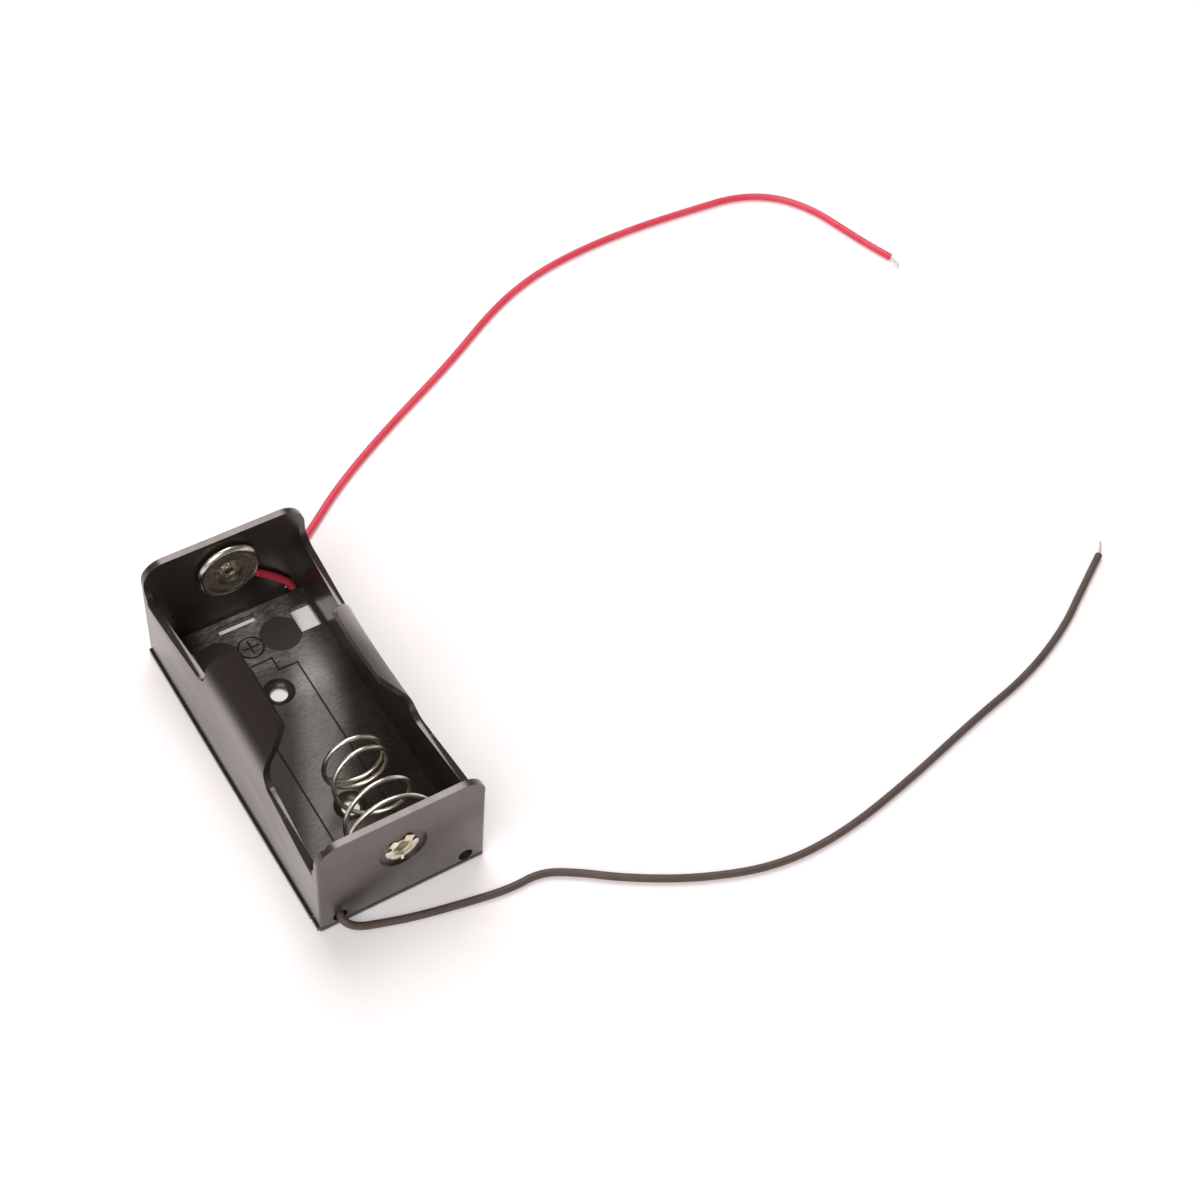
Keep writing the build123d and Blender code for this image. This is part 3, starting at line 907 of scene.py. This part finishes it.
@dataclass(frozen=True)
class StarRivet:
    """A hollow rivet: a round head at one end, and the tube split and rolled open at the other."""

    name: str
    node: CadNode
    end: HolderEnd
    centre_height: float
    into: float
    outwards: bool
    grip: float
    shank_radius: float
    head_radius: float
    star_radius: float
    petals: tuple[Petal, ...]
    seed: int
    sheet: float = 0.3
    head_thickness: float = 0.35
    collar_rise: float = 0.26
    collar_reach: float = 0.22
    collar_round: float = 0.13
    bore_depth: float = 0.75
    bore_bevel: float = 0.1
    slack: float = 0.02
    petal_thickness: float = 0.15
    petal_width: float = 1.35
    petal_gap: float = 0.03
    petal_bow: float = 0.05
    petal_trim: float = 0.1
    petal_rows: int = 9
    petal_columns: int = 7
    uneven_lift: float = 0.03
    steps: int = 72

    def build(self, material: Material) -> Piece:
        """Builds the rivet and sets its petals round the tube's end."""
        tube = link_piece(f"{self.name}_tube", turned_mesh(self.section(), self.steps, Matrix()))
        petal = link_piece(f"{self.name}_petal", self.petal_mesh())
        places = link_piece(f"{self.name}_places", self.petal_places())
        lift = self.uneven_lift
        sizes = {"Petal": petal, "Places": places, "Uneven lift": lift, "Seed": self.seed}
        piece = self.star_tree(material).shape(tube, sizes, self.name)
        bpy.data.objects.remove(petal)
        bpy.data.objects.remove(places)
        piece.data.transform(wall_place(self.end, self.centre_height, self.into, self.outwards))
        smooth_mesh(piece.data)
        return declare(piece, self.node)

    def section(self) -> Profile:
        """The section of the solid head, the tube and its rolled collar, from axis to axis."""
        shank, slack = self.shank_radius, self.slack
        bore = shank - self.sheet
        low = -self.head_thickness
        edge = self.head_thickness / 2
        top = self.grip + self.collar_rise
        base = top - self.bore_depth
        outside = [(0.0, low), (bore, low)]
        outside += arc((self.head_radius - edge, low + edge), edge, -90.0, 90.0, 8)
        outside += [(shank + slack, 0.0), (shank, self.petal_gap), (shank, self.grip + slack)]
        outside += [(shank + self.collar_reach, self.grip + self.petal_gap)]
        collar = (shank + 0.16, top - self.collar_round)
        outside += arc(collar, self.collar_round, -30.0, 90.0, 5)
        inside = arc((shank + slack, top - 0.32), self.sheet + slack, 90.0, 180.0, 6)
        inside += [(bore, base + self.bore_bevel), (bore - self.bore_bevel, base), (0.0, base)]
        return outside + inside

    def petal_point(self, along: float, side: float, under: float) -> Vector:
        """A point of one petal, which leaves the collar along X and bends down to lie flat.

        Args:
            along: the share of its length, from 0 at the collar.
            side: the share of its half width, from -1 to 1.
            under: how far the point lies under its upper face, in millimetres.

        Returns:
            The point in metres.
        """
        start = self.shank_radius - self.slack
        radius = start + (self.star_radius - start) * along
        drop = (self.collar_rise - 0.14) * (1 - along) ** 1.8
        height = self.grip + self.petal_thickness + self.petal_gap + drop
        taper = 0.86 + 0.14 * along - 0.16 * soft_step(along, 0.8, 1.0)
        bow = self.petal_bow * (1 - side * side) + self.petal_gap
        trim = self.petal_trim * side * side * along
        across = side * self.petal_width / 2 * taper
        return Vector((radius - trim, across, height + bow - under)) * MM

    def petal_mesh(self) -> Mesh:
        """One petal, as an upper and a lower face joined round their rim."""
        built = bmesh.new()
        rows, columns = self.petal_rows, self.petal_columns
        shares = [row / (rows - 1) for row in range(rows)]
        sides = [2 * column / (columns - 1) - 1 for column in range(columns)]
        faces = []
        for under in (0.0, self.petal_thickness):
            grid = [
                [built.verts.new(self.petal_point(along, side, under)) for side in sides]
                for along in shares
            ]
            for here, after in zip(grid, grid[1:]):
                for left in range(columns - 1):
                    right = left + 1
                    built.faces.new((here[left], after[left], after[right], here[right]))
            rim = grid[0] + [line[-1] for line in grid[1:]] + grid[-1][-2::-1]
            faces.append(rim + [line[0] for line in grid[-2:0:-1]])
        upper, lower = faces
        for index, corner in enumerate(upper):
            before = index - 1
            built.faces.new((upper[before], corner, lower[index], lower[before]))
        return closed_mesh(built, "petal")

    def petal_places(self) -> Mesh:
        """Points that carry each petal's turn and size."""
        mesh = bpy.data.meshes.new("petal_places")
        mesh.from_pydata([(0.0, 0.0, 0.0)] * len(self.petals), [], [])
        rows = {
            "turn": [math.radians(petal.turn) for petal in self.petals],
            "width": [petal.width for petal in self.petals],
            "reach": [petal.reach for petal in self.petals],
            "tilt": [-math.radians(petal.tilt) for petal in self.petals],
        }
        for label, numbers in rows.items():
            mesh.attributes.new(label, "FLOAT", "POINT").data.foreach_set("value", numbers)
        return mesh

    def star_tree(self, material: Material) -> GeometryNet:
        """A tree that sets a petal at each place round the end of the tube."""
        net = GeometryNet(
            f"{self.name}_star",
            {"Petal": "Object", "Places": "Object", "Uneven lift": "Float", "Seed": "Int"},
        )
        petal, places = (
            net.add("GeometryNodeObjectInfo", None, {"Object": net.size(label)}).outputs["Geometry"]
            for label in ("Petal", "Places")
        )
        most = net.size("Uneven lift")
        lift = net.add(
            "FunctionNodeRandomValue",
            {"data_type": "FLOAT"},
            {2: most * -1.0, 3: most, "Seed": net.size("Seed")},
        )
        turn, width, reach, tilt = (
            self.carried(net, label) for label in ("turn", "width", "reach", "tilt")
        )
        lifted = Value(net, lift.outputs[1]) + tilt
        spin = net.add("ShaderNodeCombineXYZ", None, {"Y": lifted, "Z": turn})
        size = net.add("ShaderNodeCombineXYZ", None, {"X": reach, "Y": width, "Z": 1.0})
        copies = {"Points": places, "Instance": petal}
        turned = {"Rotation": spin.outputs[0], "Scale": size.outputs[0]}
        star = net.add("GeometryNodeInstanceOnPoints", None, {**copies, **turned})
        both = net.add("GeometryNodeJoinGeometry", None, {0: net.size("Geometry")})
        net.feed(both.inputs[0], star.outputs[0])
        return net.end(both.outputs[0], material)

    @staticmethod
    def carried(net: GeometryNet, label: str) -> Value:
        """A number that the places carry."""
        node = net.add("GeometryNodeInputNamedAttribute", {"data_type": "FLOAT"}, {"Name": label})
        return Value(net, node.outputs["Attribute"])


@dataclass(frozen=True)
class CoilSpring:
    """The negative contact: one wire with a loop under its rivet, a spread and open turns."""

    wire: float = 0.8
    seat_clearance: float = 0.03
    loop_gap: float = 0.1
    loop_turns: float = 0.9
    spread_turns: float = 0.6
    shank_radius: float = 1.6
    head_radius: float = 2.9
    base_radius: float = 7.55
    end_radius: float = 5.05
    base_offset: float = 1.9
    free_length: float = 19.5
    lean_right: float = 0.088
    lean_down: float = 0.15
    open_angle: float = 180.0
    centre_height: float = COIL_HEIGHT
    wall: float = -INNER_FACE
    turn_marks: tuple[float, ...] = (0.0, 0.5, 1.0, 1.5, 2.0, 2.5, 3.0, 3.5, 3.9)
    reach_shares: tuple[float, ...] = (0.0, 0.07, 0.224, 0.421, 0.69, 0.862, 0.936, 0.965, 1.0)
    radius_shares: tuple[float, ...] = (1.0, 0.78, 0.556, 0.272, 0.0, 0.0, 0.0, 0.0, 0.0)
    points_per_turn: int = 44
    sides: int = 16
    compressed_share: float = 0.36
    finish: PlatedMetal = PlatedMetal(
        "spring_plating",
        colour=(0.95, 0.88, 0.75),
        tarnish=(0.80, 0.72, 0.58),
        roughness=0.31,
        scratch_stretch=(0.8, 0.8, 0.8),
        scratch_depth=0.0002,
    )

    def build(self) -> Piece:
        """Sweeps the wire along its coil."""
        turns = self.loop_turns + self.spread_turns + self.turn_marks[-1]
        steps = math.ceil(turns * self.points_per_turn)
        points = metres([self.point(turns * step / steps) for step in range(steps + 1)])
        line = link_piece("coil_line", open_curve(points, "POLY", "coil_line"))
        net = self.wire_tree(self.finish.material())
        piece = net.shape(line, {"Wire": self.wire * MM, "Sides": self.sides}, "coil_spring")
        smooth_mesh(piece.data, 50.0)
        declare(piece, CadNode.SPRING)
        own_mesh(piece)
        return piece

    @staticmethod
    def wire_tree(material: Material) -> GeometryNet:
        """A tree that gives a line its wire thickness and closed ends."""
        net = GeometryNet("drawn_wire", {"Wire": "Float", "Sides": "Int"})
        wire = net.sweep(net.size("Geometry"), net.size("Wire"), net.size("Sides"))
        return net.end(wire, material)

    def smooth_share(self, shares: tuple[float, ...], turn: float) -> float:
        """A share between the turn marks, on a smooth curve through all of them."""
        marks = self.turn_marks
        last = len(marks) - 1
        slopes = []
        for index in range(last + 1):
            low, high = max(index - 1, 0), min(index + 1, last)
            slopes.append((shares[high] - shares[low]) / (marks[high] - marks[low]))
        index = 0
        while index < last - 1 and turn > marks[index + 1]:
            index += 1
        span = marks[index + 1] - marks[index]
        along = (turn - marks[index]) / span
        leave = along * (1 - along) ** 2 * span * slopes[index]
        arrive = along**2 * (1 - along) * span * slopes[index + 1]
        step = ease(along) * (shares[index + 1] - shares[index])
        return shares[index] + step + leave - arrive

    def station(self, turn: float) -> tuple[float, float, float]:
        """Radius, distance from the wall and share of the lean at a turn of the wire."""
        loop_radius = self.shank_radius + self.wire / 2 + self.loop_gap
        rest = self.wire / 2 + self.seat_clearance
        if turn <= self.loop_turns:
            return loop_radius, rest, 0.0
        open_turn = turn - self.loop_turns - self.spread_turns
        if open_turn <= 0:
            spread = ease((turn - self.loop_turns) / self.spread_turns)
            radius = loop_radius + spread * (self.base_radius - loop_radius)
            clear = self.head_radius + self.wire
            rise = max(0.0, (radius - clear) / (self.base_radius - clear))
            return radius, rest + rise * (self.base_offset - rest), rise
        end_offset = self.free_length - self.wire / 2
        narrowing = self.base_radius - self.end_radius
        radius = self.end_radius + self.smooth_share(self.radius_shares, open_turn) * narrowing
        reach = self.smooth_share(self.reach_shares, open_turn)
        return radius, self.base_offset + reach * (end_offset - self.base_offset), 1.0

    def point(self, turn: float) -> Point:
        """A point of the wire's centre line, in millimetres."""
        radius, offset, lean = self.station(turn)
        start = self.loop_turns + self.spread_turns
        angle = math.radians(self.open_angle + 360 * (start - turn))
        across, rise = radius * math.cos(angle), radius * math.sin(angle)
        right, up = lean * self.lean_right, -lean * self.lean_down
        stretch = math.hypot(1, right, up)
        away = (offset - right * across - up * rise) / stretch
        return (
            across + right * offset / stretch,
            self.wall + away,
            self.centre_height + rise + up * offset / stretch,
        )


@dataclass(frozen=True)
class StrandBundle:
    """Fine tinned strands, twisted together along a short line."""

    name: str
    node: CadNode
    line: tuple[Point, ...]
    strand: float = 0.165
    bundle_radius: float = 0.145
    strands: int = 6
    lay_length: float = 3.6
    samples: int = 56
    sides: int = 10

    @classmethod
    def tip(cls, name: str, node: CadNode, places: tuple[Place, ...]) -> "StrandBundle":
        """A bundle pulled tight, for a stripped end that lies at the lead's own height."""
        height = LEAD_DIAMETER / 2 / MM
        line = tuple((*place, height) for place in places)
        return cls(name, node, line, strand=0.125, bundle_radius=0.108)

    def build(self, material: Material) -> Piece:
        """Twists the strands round the line."""
        line = f"{self.name}_line"
        start = link_piece(line, open_curve(metres(self.line), "NURBS", line))
        sizes = {
            "Strands": self.strands,
            "Samples": self.samples,
            "Sides": self.sides,
            "Strand": self.strand * MM,
            "Bundle radius": self.bundle_radius * MM,
            "Lay length": self.lay_length * MM,
        }
        net = self.twist_tree(sizes, material)
        piece = net.shape(start, sizes, self.name)
        smooth_mesh(piece.data, 60.0)
        return declare(piece, self.node)

    def twist_tree(self, sizes: dict[str, int | float], material: Material) -> GeometryNet:
        """A tree that repeats a line as strands wound round it, with one along its middle.

        Args:
            sizes: the tree's named inputs.
            material: what the strands are dressed in.

        Returns:
            The tree.
        """
        names = {int: "Int", float: "Float"}
        kinds = {label: names[type(size)] for label, size in sizes.items()}
        net = GeometryNet(f"{self.name}_twist", kinds)
        fine = net.add(
            "GeometryNodeResampleCurve",
            {"mode": "COUNT"},
            {"Curve": net.size("Geometry"), "Count": net.size("Samples")},
        )
        copies = net.add(
            "GeometryNodeDuplicateElements",
            {"domain": "SPLINE"},
            {"Geometry": fine.outputs[0], "Amount": net.size("Strands")},
        )
        copy = Value(net, copies.outputs["Duplicate Index"])
        along = Value(net, net.add("GeometryNodeSplineParameter").outputs["Length"])
        angle = (copy / net.size("Strands") + along / net.size("Lay length")) * math.tau
        normal = net.add("GeometryNodeInputNormal").outputs[0]
        tangent = net.add("GeometryNodeInputTangent").outputs[0]
        side = net.vector("CROSS_PRODUCT", tangent, normal).outputs[0]
        first = self.scaled(net, normal, net.math("COSINE", angle))
        second = self.scaled(net, side, net.math("SINE", angle))
        around = net.vector("ADD", first, second).outputs[0]
        offset = self.scaled(net, around, net.size("Bundle radius"))
        wound = net.add(
            "GeometryNodeSetPosition", None, {"Geometry": copies.outputs[0], "Offset": offset}
        )
        joined = net.add("GeometryNodeJoinGeometry", None, {0: wound.outputs[0]})
        net.feed(joined.inputs[0], fine.outputs[0])
        bars = net.sweep(joined.outputs[0], net.size("Strand"), net.size("Sides"))
        return net.end(bars, material)

    @staticmethod
    def scaled(net: GeometryNet, vector: Feed, share: Value) -> Socket:
        """A vector times a number."""
        node = net.add("ShaderNodeVectorMath", {"operation": "SCALE"}, {0: vector, "Scale": share})
        return node.outputs[0]


@dataclass(frozen=True)
class Lead:
    """One loose lead's insulation; its bare end inside and its stripped tip are strand bundles of
    their own.
    """

    name: str
    node: CadNode
    slot: Slot
    route: tuple[Point, ...]
    exit: Point
    length: float
    finish: Insulation
    diameter: float = LEAD_DIAMETER

    def build(self, going_with: list[Piece]) -> Piece:
        """Args:
            going_with: the bare strands at its two ends; not used.

        Returns:
            The insulation.
        """
        curve = open_curve(self.route, "NURBS", self.name)
        curve.bevel_depth = self.diameter / 2
        curve.bevel_resolution = 5
        curve.resolution_u = 14
        curve.use_fill_caps = True
        curve.materials.append(self.finish.material())
        piece = declare(link_piece(self.name, curve), self.node)
        return piece


def laid(*places: Place) -> tuple[Point, ...]:
    """Points of a lead that lies on the table."""
    return tuple((across, along, LEAD_DIAMETER / 2) for across, along in places)


RED_ROUTE: tuple[Point, ...] = (
    (0.0049, 0.0289, 0.0113),
    (0.0074, 0.0289, 0.0089),
    (0.0094, 0.0288, 0.0067),
    (0.0107, 0.0287, 0.0050),
    (0.0112, 0.0288, 0.0034),
    (0.0111, 0.0303, 0.0026),
    (0.0112, 0.0324, 0.0024),
    (0.0130, 0.0349, 0.0015),
    (0.0164, 0.0378, 0.00075),
    *laid((0.0212, 0.0412), (0.0285, 0.0466), (0.0376, 0.0520), (0.0475, 0.0572)),
    *laid((0.0610, 0.0639), (0.0756, 0.0724), (0.0865, 0.0764), (0.0980, 0.0781)),
    *laid((0.1105, 0.0784), (0.1235, 0.0775), (0.1334, 0.0766), (0.1406, 0.0726)),
    *laid((0.1450, 0.0660), (0.1472, 0.0586), (0.1491, 0.0524), (0.1508, 0.0481)),
)

BLACK_ROUTE: tuple[Point, ...] = (
    (-0.0079, -0.0289, 0.0091),
    (-0.0096, -0.0288, 0.0074),
    (-0.0109, -0.0287, 0.0054),
    (-0.0111, -0.0286, 0.0035),
    (-0.0110, -0.0303, 0.0026),
    (-0.0110, -0.0322, 0.0024),
    (-0.0093, -0.0334, 0.0015),
    (-0.0060, -0.0341, 0.00075),
    *laid((-0.0010, -0.0356), (0.0070, -0.0373), (0.0146, -0.0386), (0.0202, -0.0383)),
    *laid((0.0250, -0.0409), (0.0320, -0.0462), (0.0420, -0.0518), (0.0540, -0.0559)),
    *laid((0.0670, -0.0559), (0.0830, -0.0526), (0.0980, -0.0486), (0.1124, -0.0455)),
    *laid((0.1240, -0.0406), (0.1320, -0.0355), (0.1397, -0.0308)),
)


# Studio


@dataclass(frozen=True)
class Softbox:
    """A flat soft lamp that looks at the holder."""

    name: str
    place: Point
    aim: Point
    width: float
    length: float
    power: float

    def build(self) -> Piece:
        """Hangs the lamp."""
        lamp = bpy.data.lights.new(self.name, "AREA")
        lamp.shape = "RECTANGLE"
        lamp.size = self.width
        lamp.size_y = self.length
        lamp.energy = self.power
        hung = link_piece(self.name, lamp)
        hung.location = self.place
        away = Vector(self.place) - Vector(self.aim)
        hung.rotation_mode = "QUATERNION"
        hung.rotation_quaternion = away.to_track_quat("Z", "Y")
        return hung


@dataclass(frozen=True)
class PhotoCamera:
    """The camera, at the photograph's viewing angle."""

    azimuth: float = -36.056
    elevation: float = 52.301
    roll: float = 5.821
    distance: float = 0.401038
    target: Point = (0.056992, 0.00362, 0.0)
    lens: float = 69.96
    sensor: float = 36.0

    def build(self) -> Piece:
        """Sets the camera up and makes it the scene's."""
        turn, lift, roll = (math.radians(x) for x in (self.azimuth, self.elevation, self.roll))
        back = Vector(
            (math.sin(turn) * math.cos(lift), -math.cos(turn) * math.cos(lift), math.sin(lift))
        )
        level = Vector((math.cos(turn), math.sin(turn), 0.0))
        upright = back.cross(level)
        right = level * math.cos(roll) + upright * math.sin(roll)
        up = upright * math.cos(roll) - level * math.sin(roll)
        lens = bpy.data.cameras.new("photo_camera")
        lens.lens = self.lens
        lens.sensor_width = self.sensor
        lens.clip_start = 0.01
        lens.clip_end = 20.0
        camera = link_piece("photo_camera", lens)
        turned = Matrix((right, up, back)).transposed().to_4x4()
        place = Vector(self.target) + back * self.distance
        camera.matrix_world = Matrix.Translation(place) @ turned
        bpy.context.scene.camera = camera
        return camera


@dataclass(frozen=True)
class Studio:
    """A pale floor under an even white room, with soft lamps."""

    floor_half: float = 3.0
    floor_drop: float = 0.00002
    floor_colour: Colour = (0.92, 0.855, 0.845)
    floor_glow: float = 0.17
    fade_out: Band = (400.0, 1000.0)
    room_colour: Colour = (1.0, 0.995, 0.985)
    room_light: float = 0.16
    horizon: float = 0.04
    room_height: float = 0.34
    softboxes: tuple[Softbox, ...] = (
        Softbox("back_softbox", (0.145, 0.34, 0.71), (0.0, 0.0, 0.0), 0.45, 0.5, 3.9),
        Softbox("fill_softbox", (-0.5, -0.35, 0.79), (0.05, 0.0, 0.0), 0.7, 0.7, 5.6),
    )

    def build(self) -> None:
        """Builds the floor, the room's light and the lamps."""
        scene = bpy.context.scene
        scene.view_settings.view_transform = "Standard"
        self._floor()
        self._room()
        for softbox in self.softboxes:
            softbox.build()

    def _floor(self) -> None:
        """A wide pale sheet just under the object, which shows as white and keeps the shadow."""
        half, low = self.floor_half, -self.floor_drop
        mesh = bpy.data.meshes.new("studio_floor")
        corners = [(-half, -half, low), (half, -half, low), (half, half, low), (-half, half, low)]
        mesh.from_pydata(corners, [], [(0, 1, 2, 3)])
        floor = link_piece("studio_floor", mesh)
        net = ShaderNet("studio_floor")
        path = net.add("ShaderNodeLightPath").outputs
        rays = ("Is Camera Ray", "Is Glossy Ray", "Is Transmission Ray")
        camera, glossy, through = (Value(net, path[ray]) for ray in rays)
        seen = net.math("MAXIMUM", net.math("MAXIMUM", camera, glossy), through)
        x, y, _ = net.position()
        far = camera * net.between(off_axis(x, y), *self.fade_out)
        glow = self.floor_glow * seen + (1 - self.floor_glow) * far
        mesh.materials.append(
            net.surface(
                {
                    "Base Color": self.floor_colour,
                    "Roughness": 0.8,
                    "Specular IOR Level": 0.0,
                    "Emission Color": net.blend(glow, (0.0, 0.0, 0.0), (1.0, 1.0, 1.0)),
                    "Emission Strength": 1.0,
                }
            )
        )

    def _room(self) -> None:
        """A surrounding that is white at table height and falls off to a dim ceiling."""
        world = bpy.data.worlds.new("studio_room")
        world.use_nodes = True
        net = NodeNet(world.node_tree)
        direction = net.add("ShaderNodeTexCoord").outputs["Generated"]
        parts = net.add("ShaderNodeSeparateXYZ", None, {0: direction})
        strength = net.add(
            "ShaderNodeMapRange",
            {"interpolation_type": "SMOOTHSTEP"},
            {
                "Value": parts.outputs[2],
                "From Min": self.horizon,
                "From Max": self.room_height,
                "To Min": 1.0,
                "To Max": self.room_light,
            },
        )
        light = net.add(
            "ShaderNodeBackground",
            None,
            {"Color": (*self.room_colour, 1.0), "Strength": strength.outputs[0]},
        )
        net.add("ShaderNodeOutputWorld", None, {"Surface": light.outputs[0]})
        bpy.context.scene.world = world


def build_rivets() -> list[Piece]:
    """The two star rivets in plated brass, the disc's one darker, each with painted shade in its
    bore.
    """
    disc = StarRivet(
        "disc_rivet",
        CadNode.DISC_RIVET,
        HolderEnd.POSITIVE,
        centre_height=DISC_HEIGHT,
        into=-0.75,
        outwards=False,
        grip=1.6,
        shank_radius=1.0,
        head_radius=2.3,
        star_radius=1.5,
        petals=tuple(Petal(turn, 0.72) for turn in (12.0, 70.0, 133.0, 188.0, 251.0, 309.0)),
        seed=5,
    )
    coil = StarRivet(
        "coil_rivet",
        CadNode.SPRING_RIVET,
        HolderEnd.SPRING,
        centre_height=COIL_HEIGHT,
        into=0.86,
        outwards=True,
        grip=1.61,
        shank_radius=1.6,
        head_radius=2.9,
        star_radius=2.8,
        petals=(
            Petal(57.0, 1.35, 1.02),
            Petal(134.0, 1.08, 0.97),
            Petal(197.0, 1.4, 1.02),
            Petal(238.0, 1.4, 0.98),
            Petal(263.0, 0.42, 1.02, 12.0),
            Petal(290.0, 1.35, 0.93),
            Petal(327.0, 1.35, 0.93),
            Petal(356.0, 1.2, 0.98),
        ),
        seed=2,
        sheet=0.2,
        bore_depth=0.45,
    )
    disc_plating = PlatedMetal(
        "disc_rivet_plating",
        colour=(0.84, 0.75, 0.54),
        tarnish=(0.5, 0.42, 0.27),
        bore=BoreShade(DISC_HEIGHT, 0.8, (0.16, 0.13, 0.08)),
        roughness=0.38,
        scratch_depth=0.0004,
    )
    coil_plating = PlatedMetal(
        "coil_rivet_plating",
        colour=(0.90, 0.85, 0.73),
        tarnish=(0.78, 0.70, 0.54),
        bore=BoreShade(COIL_HEIGHT, 1.45, (0.3, 0.26, 0.18)),
        roughness=0.36,
        scratch_depth=0.0004,
    )
    return [disc.build(disc_plating.material()), coil.build(coil_plating.material())]


def build_leads() -> list[Piece]:
    """Both leads with their bare strands."""
    tinned = PlatedMetal(
        "tinned_strands",
        colour=(0.70, 0.66, 0.60),
        tarnish=(0.5, 0.44, 0.37),
        roughness=0.4,
        scratch_stretch=(8.0, 8.0, 8.0),
        scratch_depth=0.001,
    ).material()
    red = Lead(
        "red_insulated_lead",
        CadNode.RED_LEAD,
        Slot.RED,
        RED_ROUTE,
        exit=(0.011, 0.0308, 0.0026),
        length=0.182,
        finish=Insulation("red_insulation", (0.80, 0.062, 0.108), (0.75, 0.044, 0.086)),
    )
    black = Lead(
        "black_insulated_lead",
        CadNode.BLACK_LEAD,
        Slot.BLACK,
        BLACK_ROUTE,
        exit=(-0.011, -0.0308, 0.0026),
        length=0.170,
        finish=Insulation("black_insulation", (0.105, 0.070, 0.056), (0.082, 0.056, 0.045), 0.46),
    )
    bundles = (
        StrandBundle(
            "red_inner_strands",
            CadNode.RED_STRANDS,
            ((5.06, 28.89, 11.18), (4.9, 28.9, 11.3), (4.58, 29.34, 11.54), (2.44, 29.355, 13.11)),
        ),
        StrandBundle.tip(
            "red_stripped_tip",
            CadNode.RED_TIP,
            ((150.73, 48.29), (150.8, 48.1), (151.05, 47.3), (150.9, 45.4)),
        ),
        StrandBundle(
            "black_inner_strands",
            CadNode.BLACK_STRANDS,
            (
                (-8.04, -28.89, 8.96),
                (-7.9, -28.9, 9.1),
                (-7.53, -29.34, 9.3),
                (-2.4, -29.355, 12.1),
            ),
        ),
        StrandBundle.tip(
            "black_stripped_tip",
            CadNode.BLACK_TIP,
            ((139.53, -30.9), (139.7, -30.8), (140.5, -30.1), (141.8, -28.6)),
        ),
    )
    ends = [bundle.build(tinned) for bundle in bundles]
    return [red.build(ends[:2]), black.build(ends[2:]), *ends]


def report(pieces: list[Piece]) -> None:
    """Logs each finished piece with its size."""
    for piece in pieces:
        size = piece.dimensions
        LOG.info("%s: %.1f x %.1f x %.1f mm", piece.name, *(part / MM for part in size))


def main() -> None:
    """Builds the holder's pieces in order, then the studio round them."""
    logging.basicConfig(level=logging.INFO, format="%(name)s: %(message)s")
    PhotoCamera().build()
    leads = build_leads()
    moulding = HolderMoulding().dress()
    disc = DiscContact().build()
    rivets = build_rivets()
    coil = CoilSpring().build()
    Studio().build()
    report([moulding, disc, *rivets, coil, *leads])


if __name__ == "__main__":
    main()
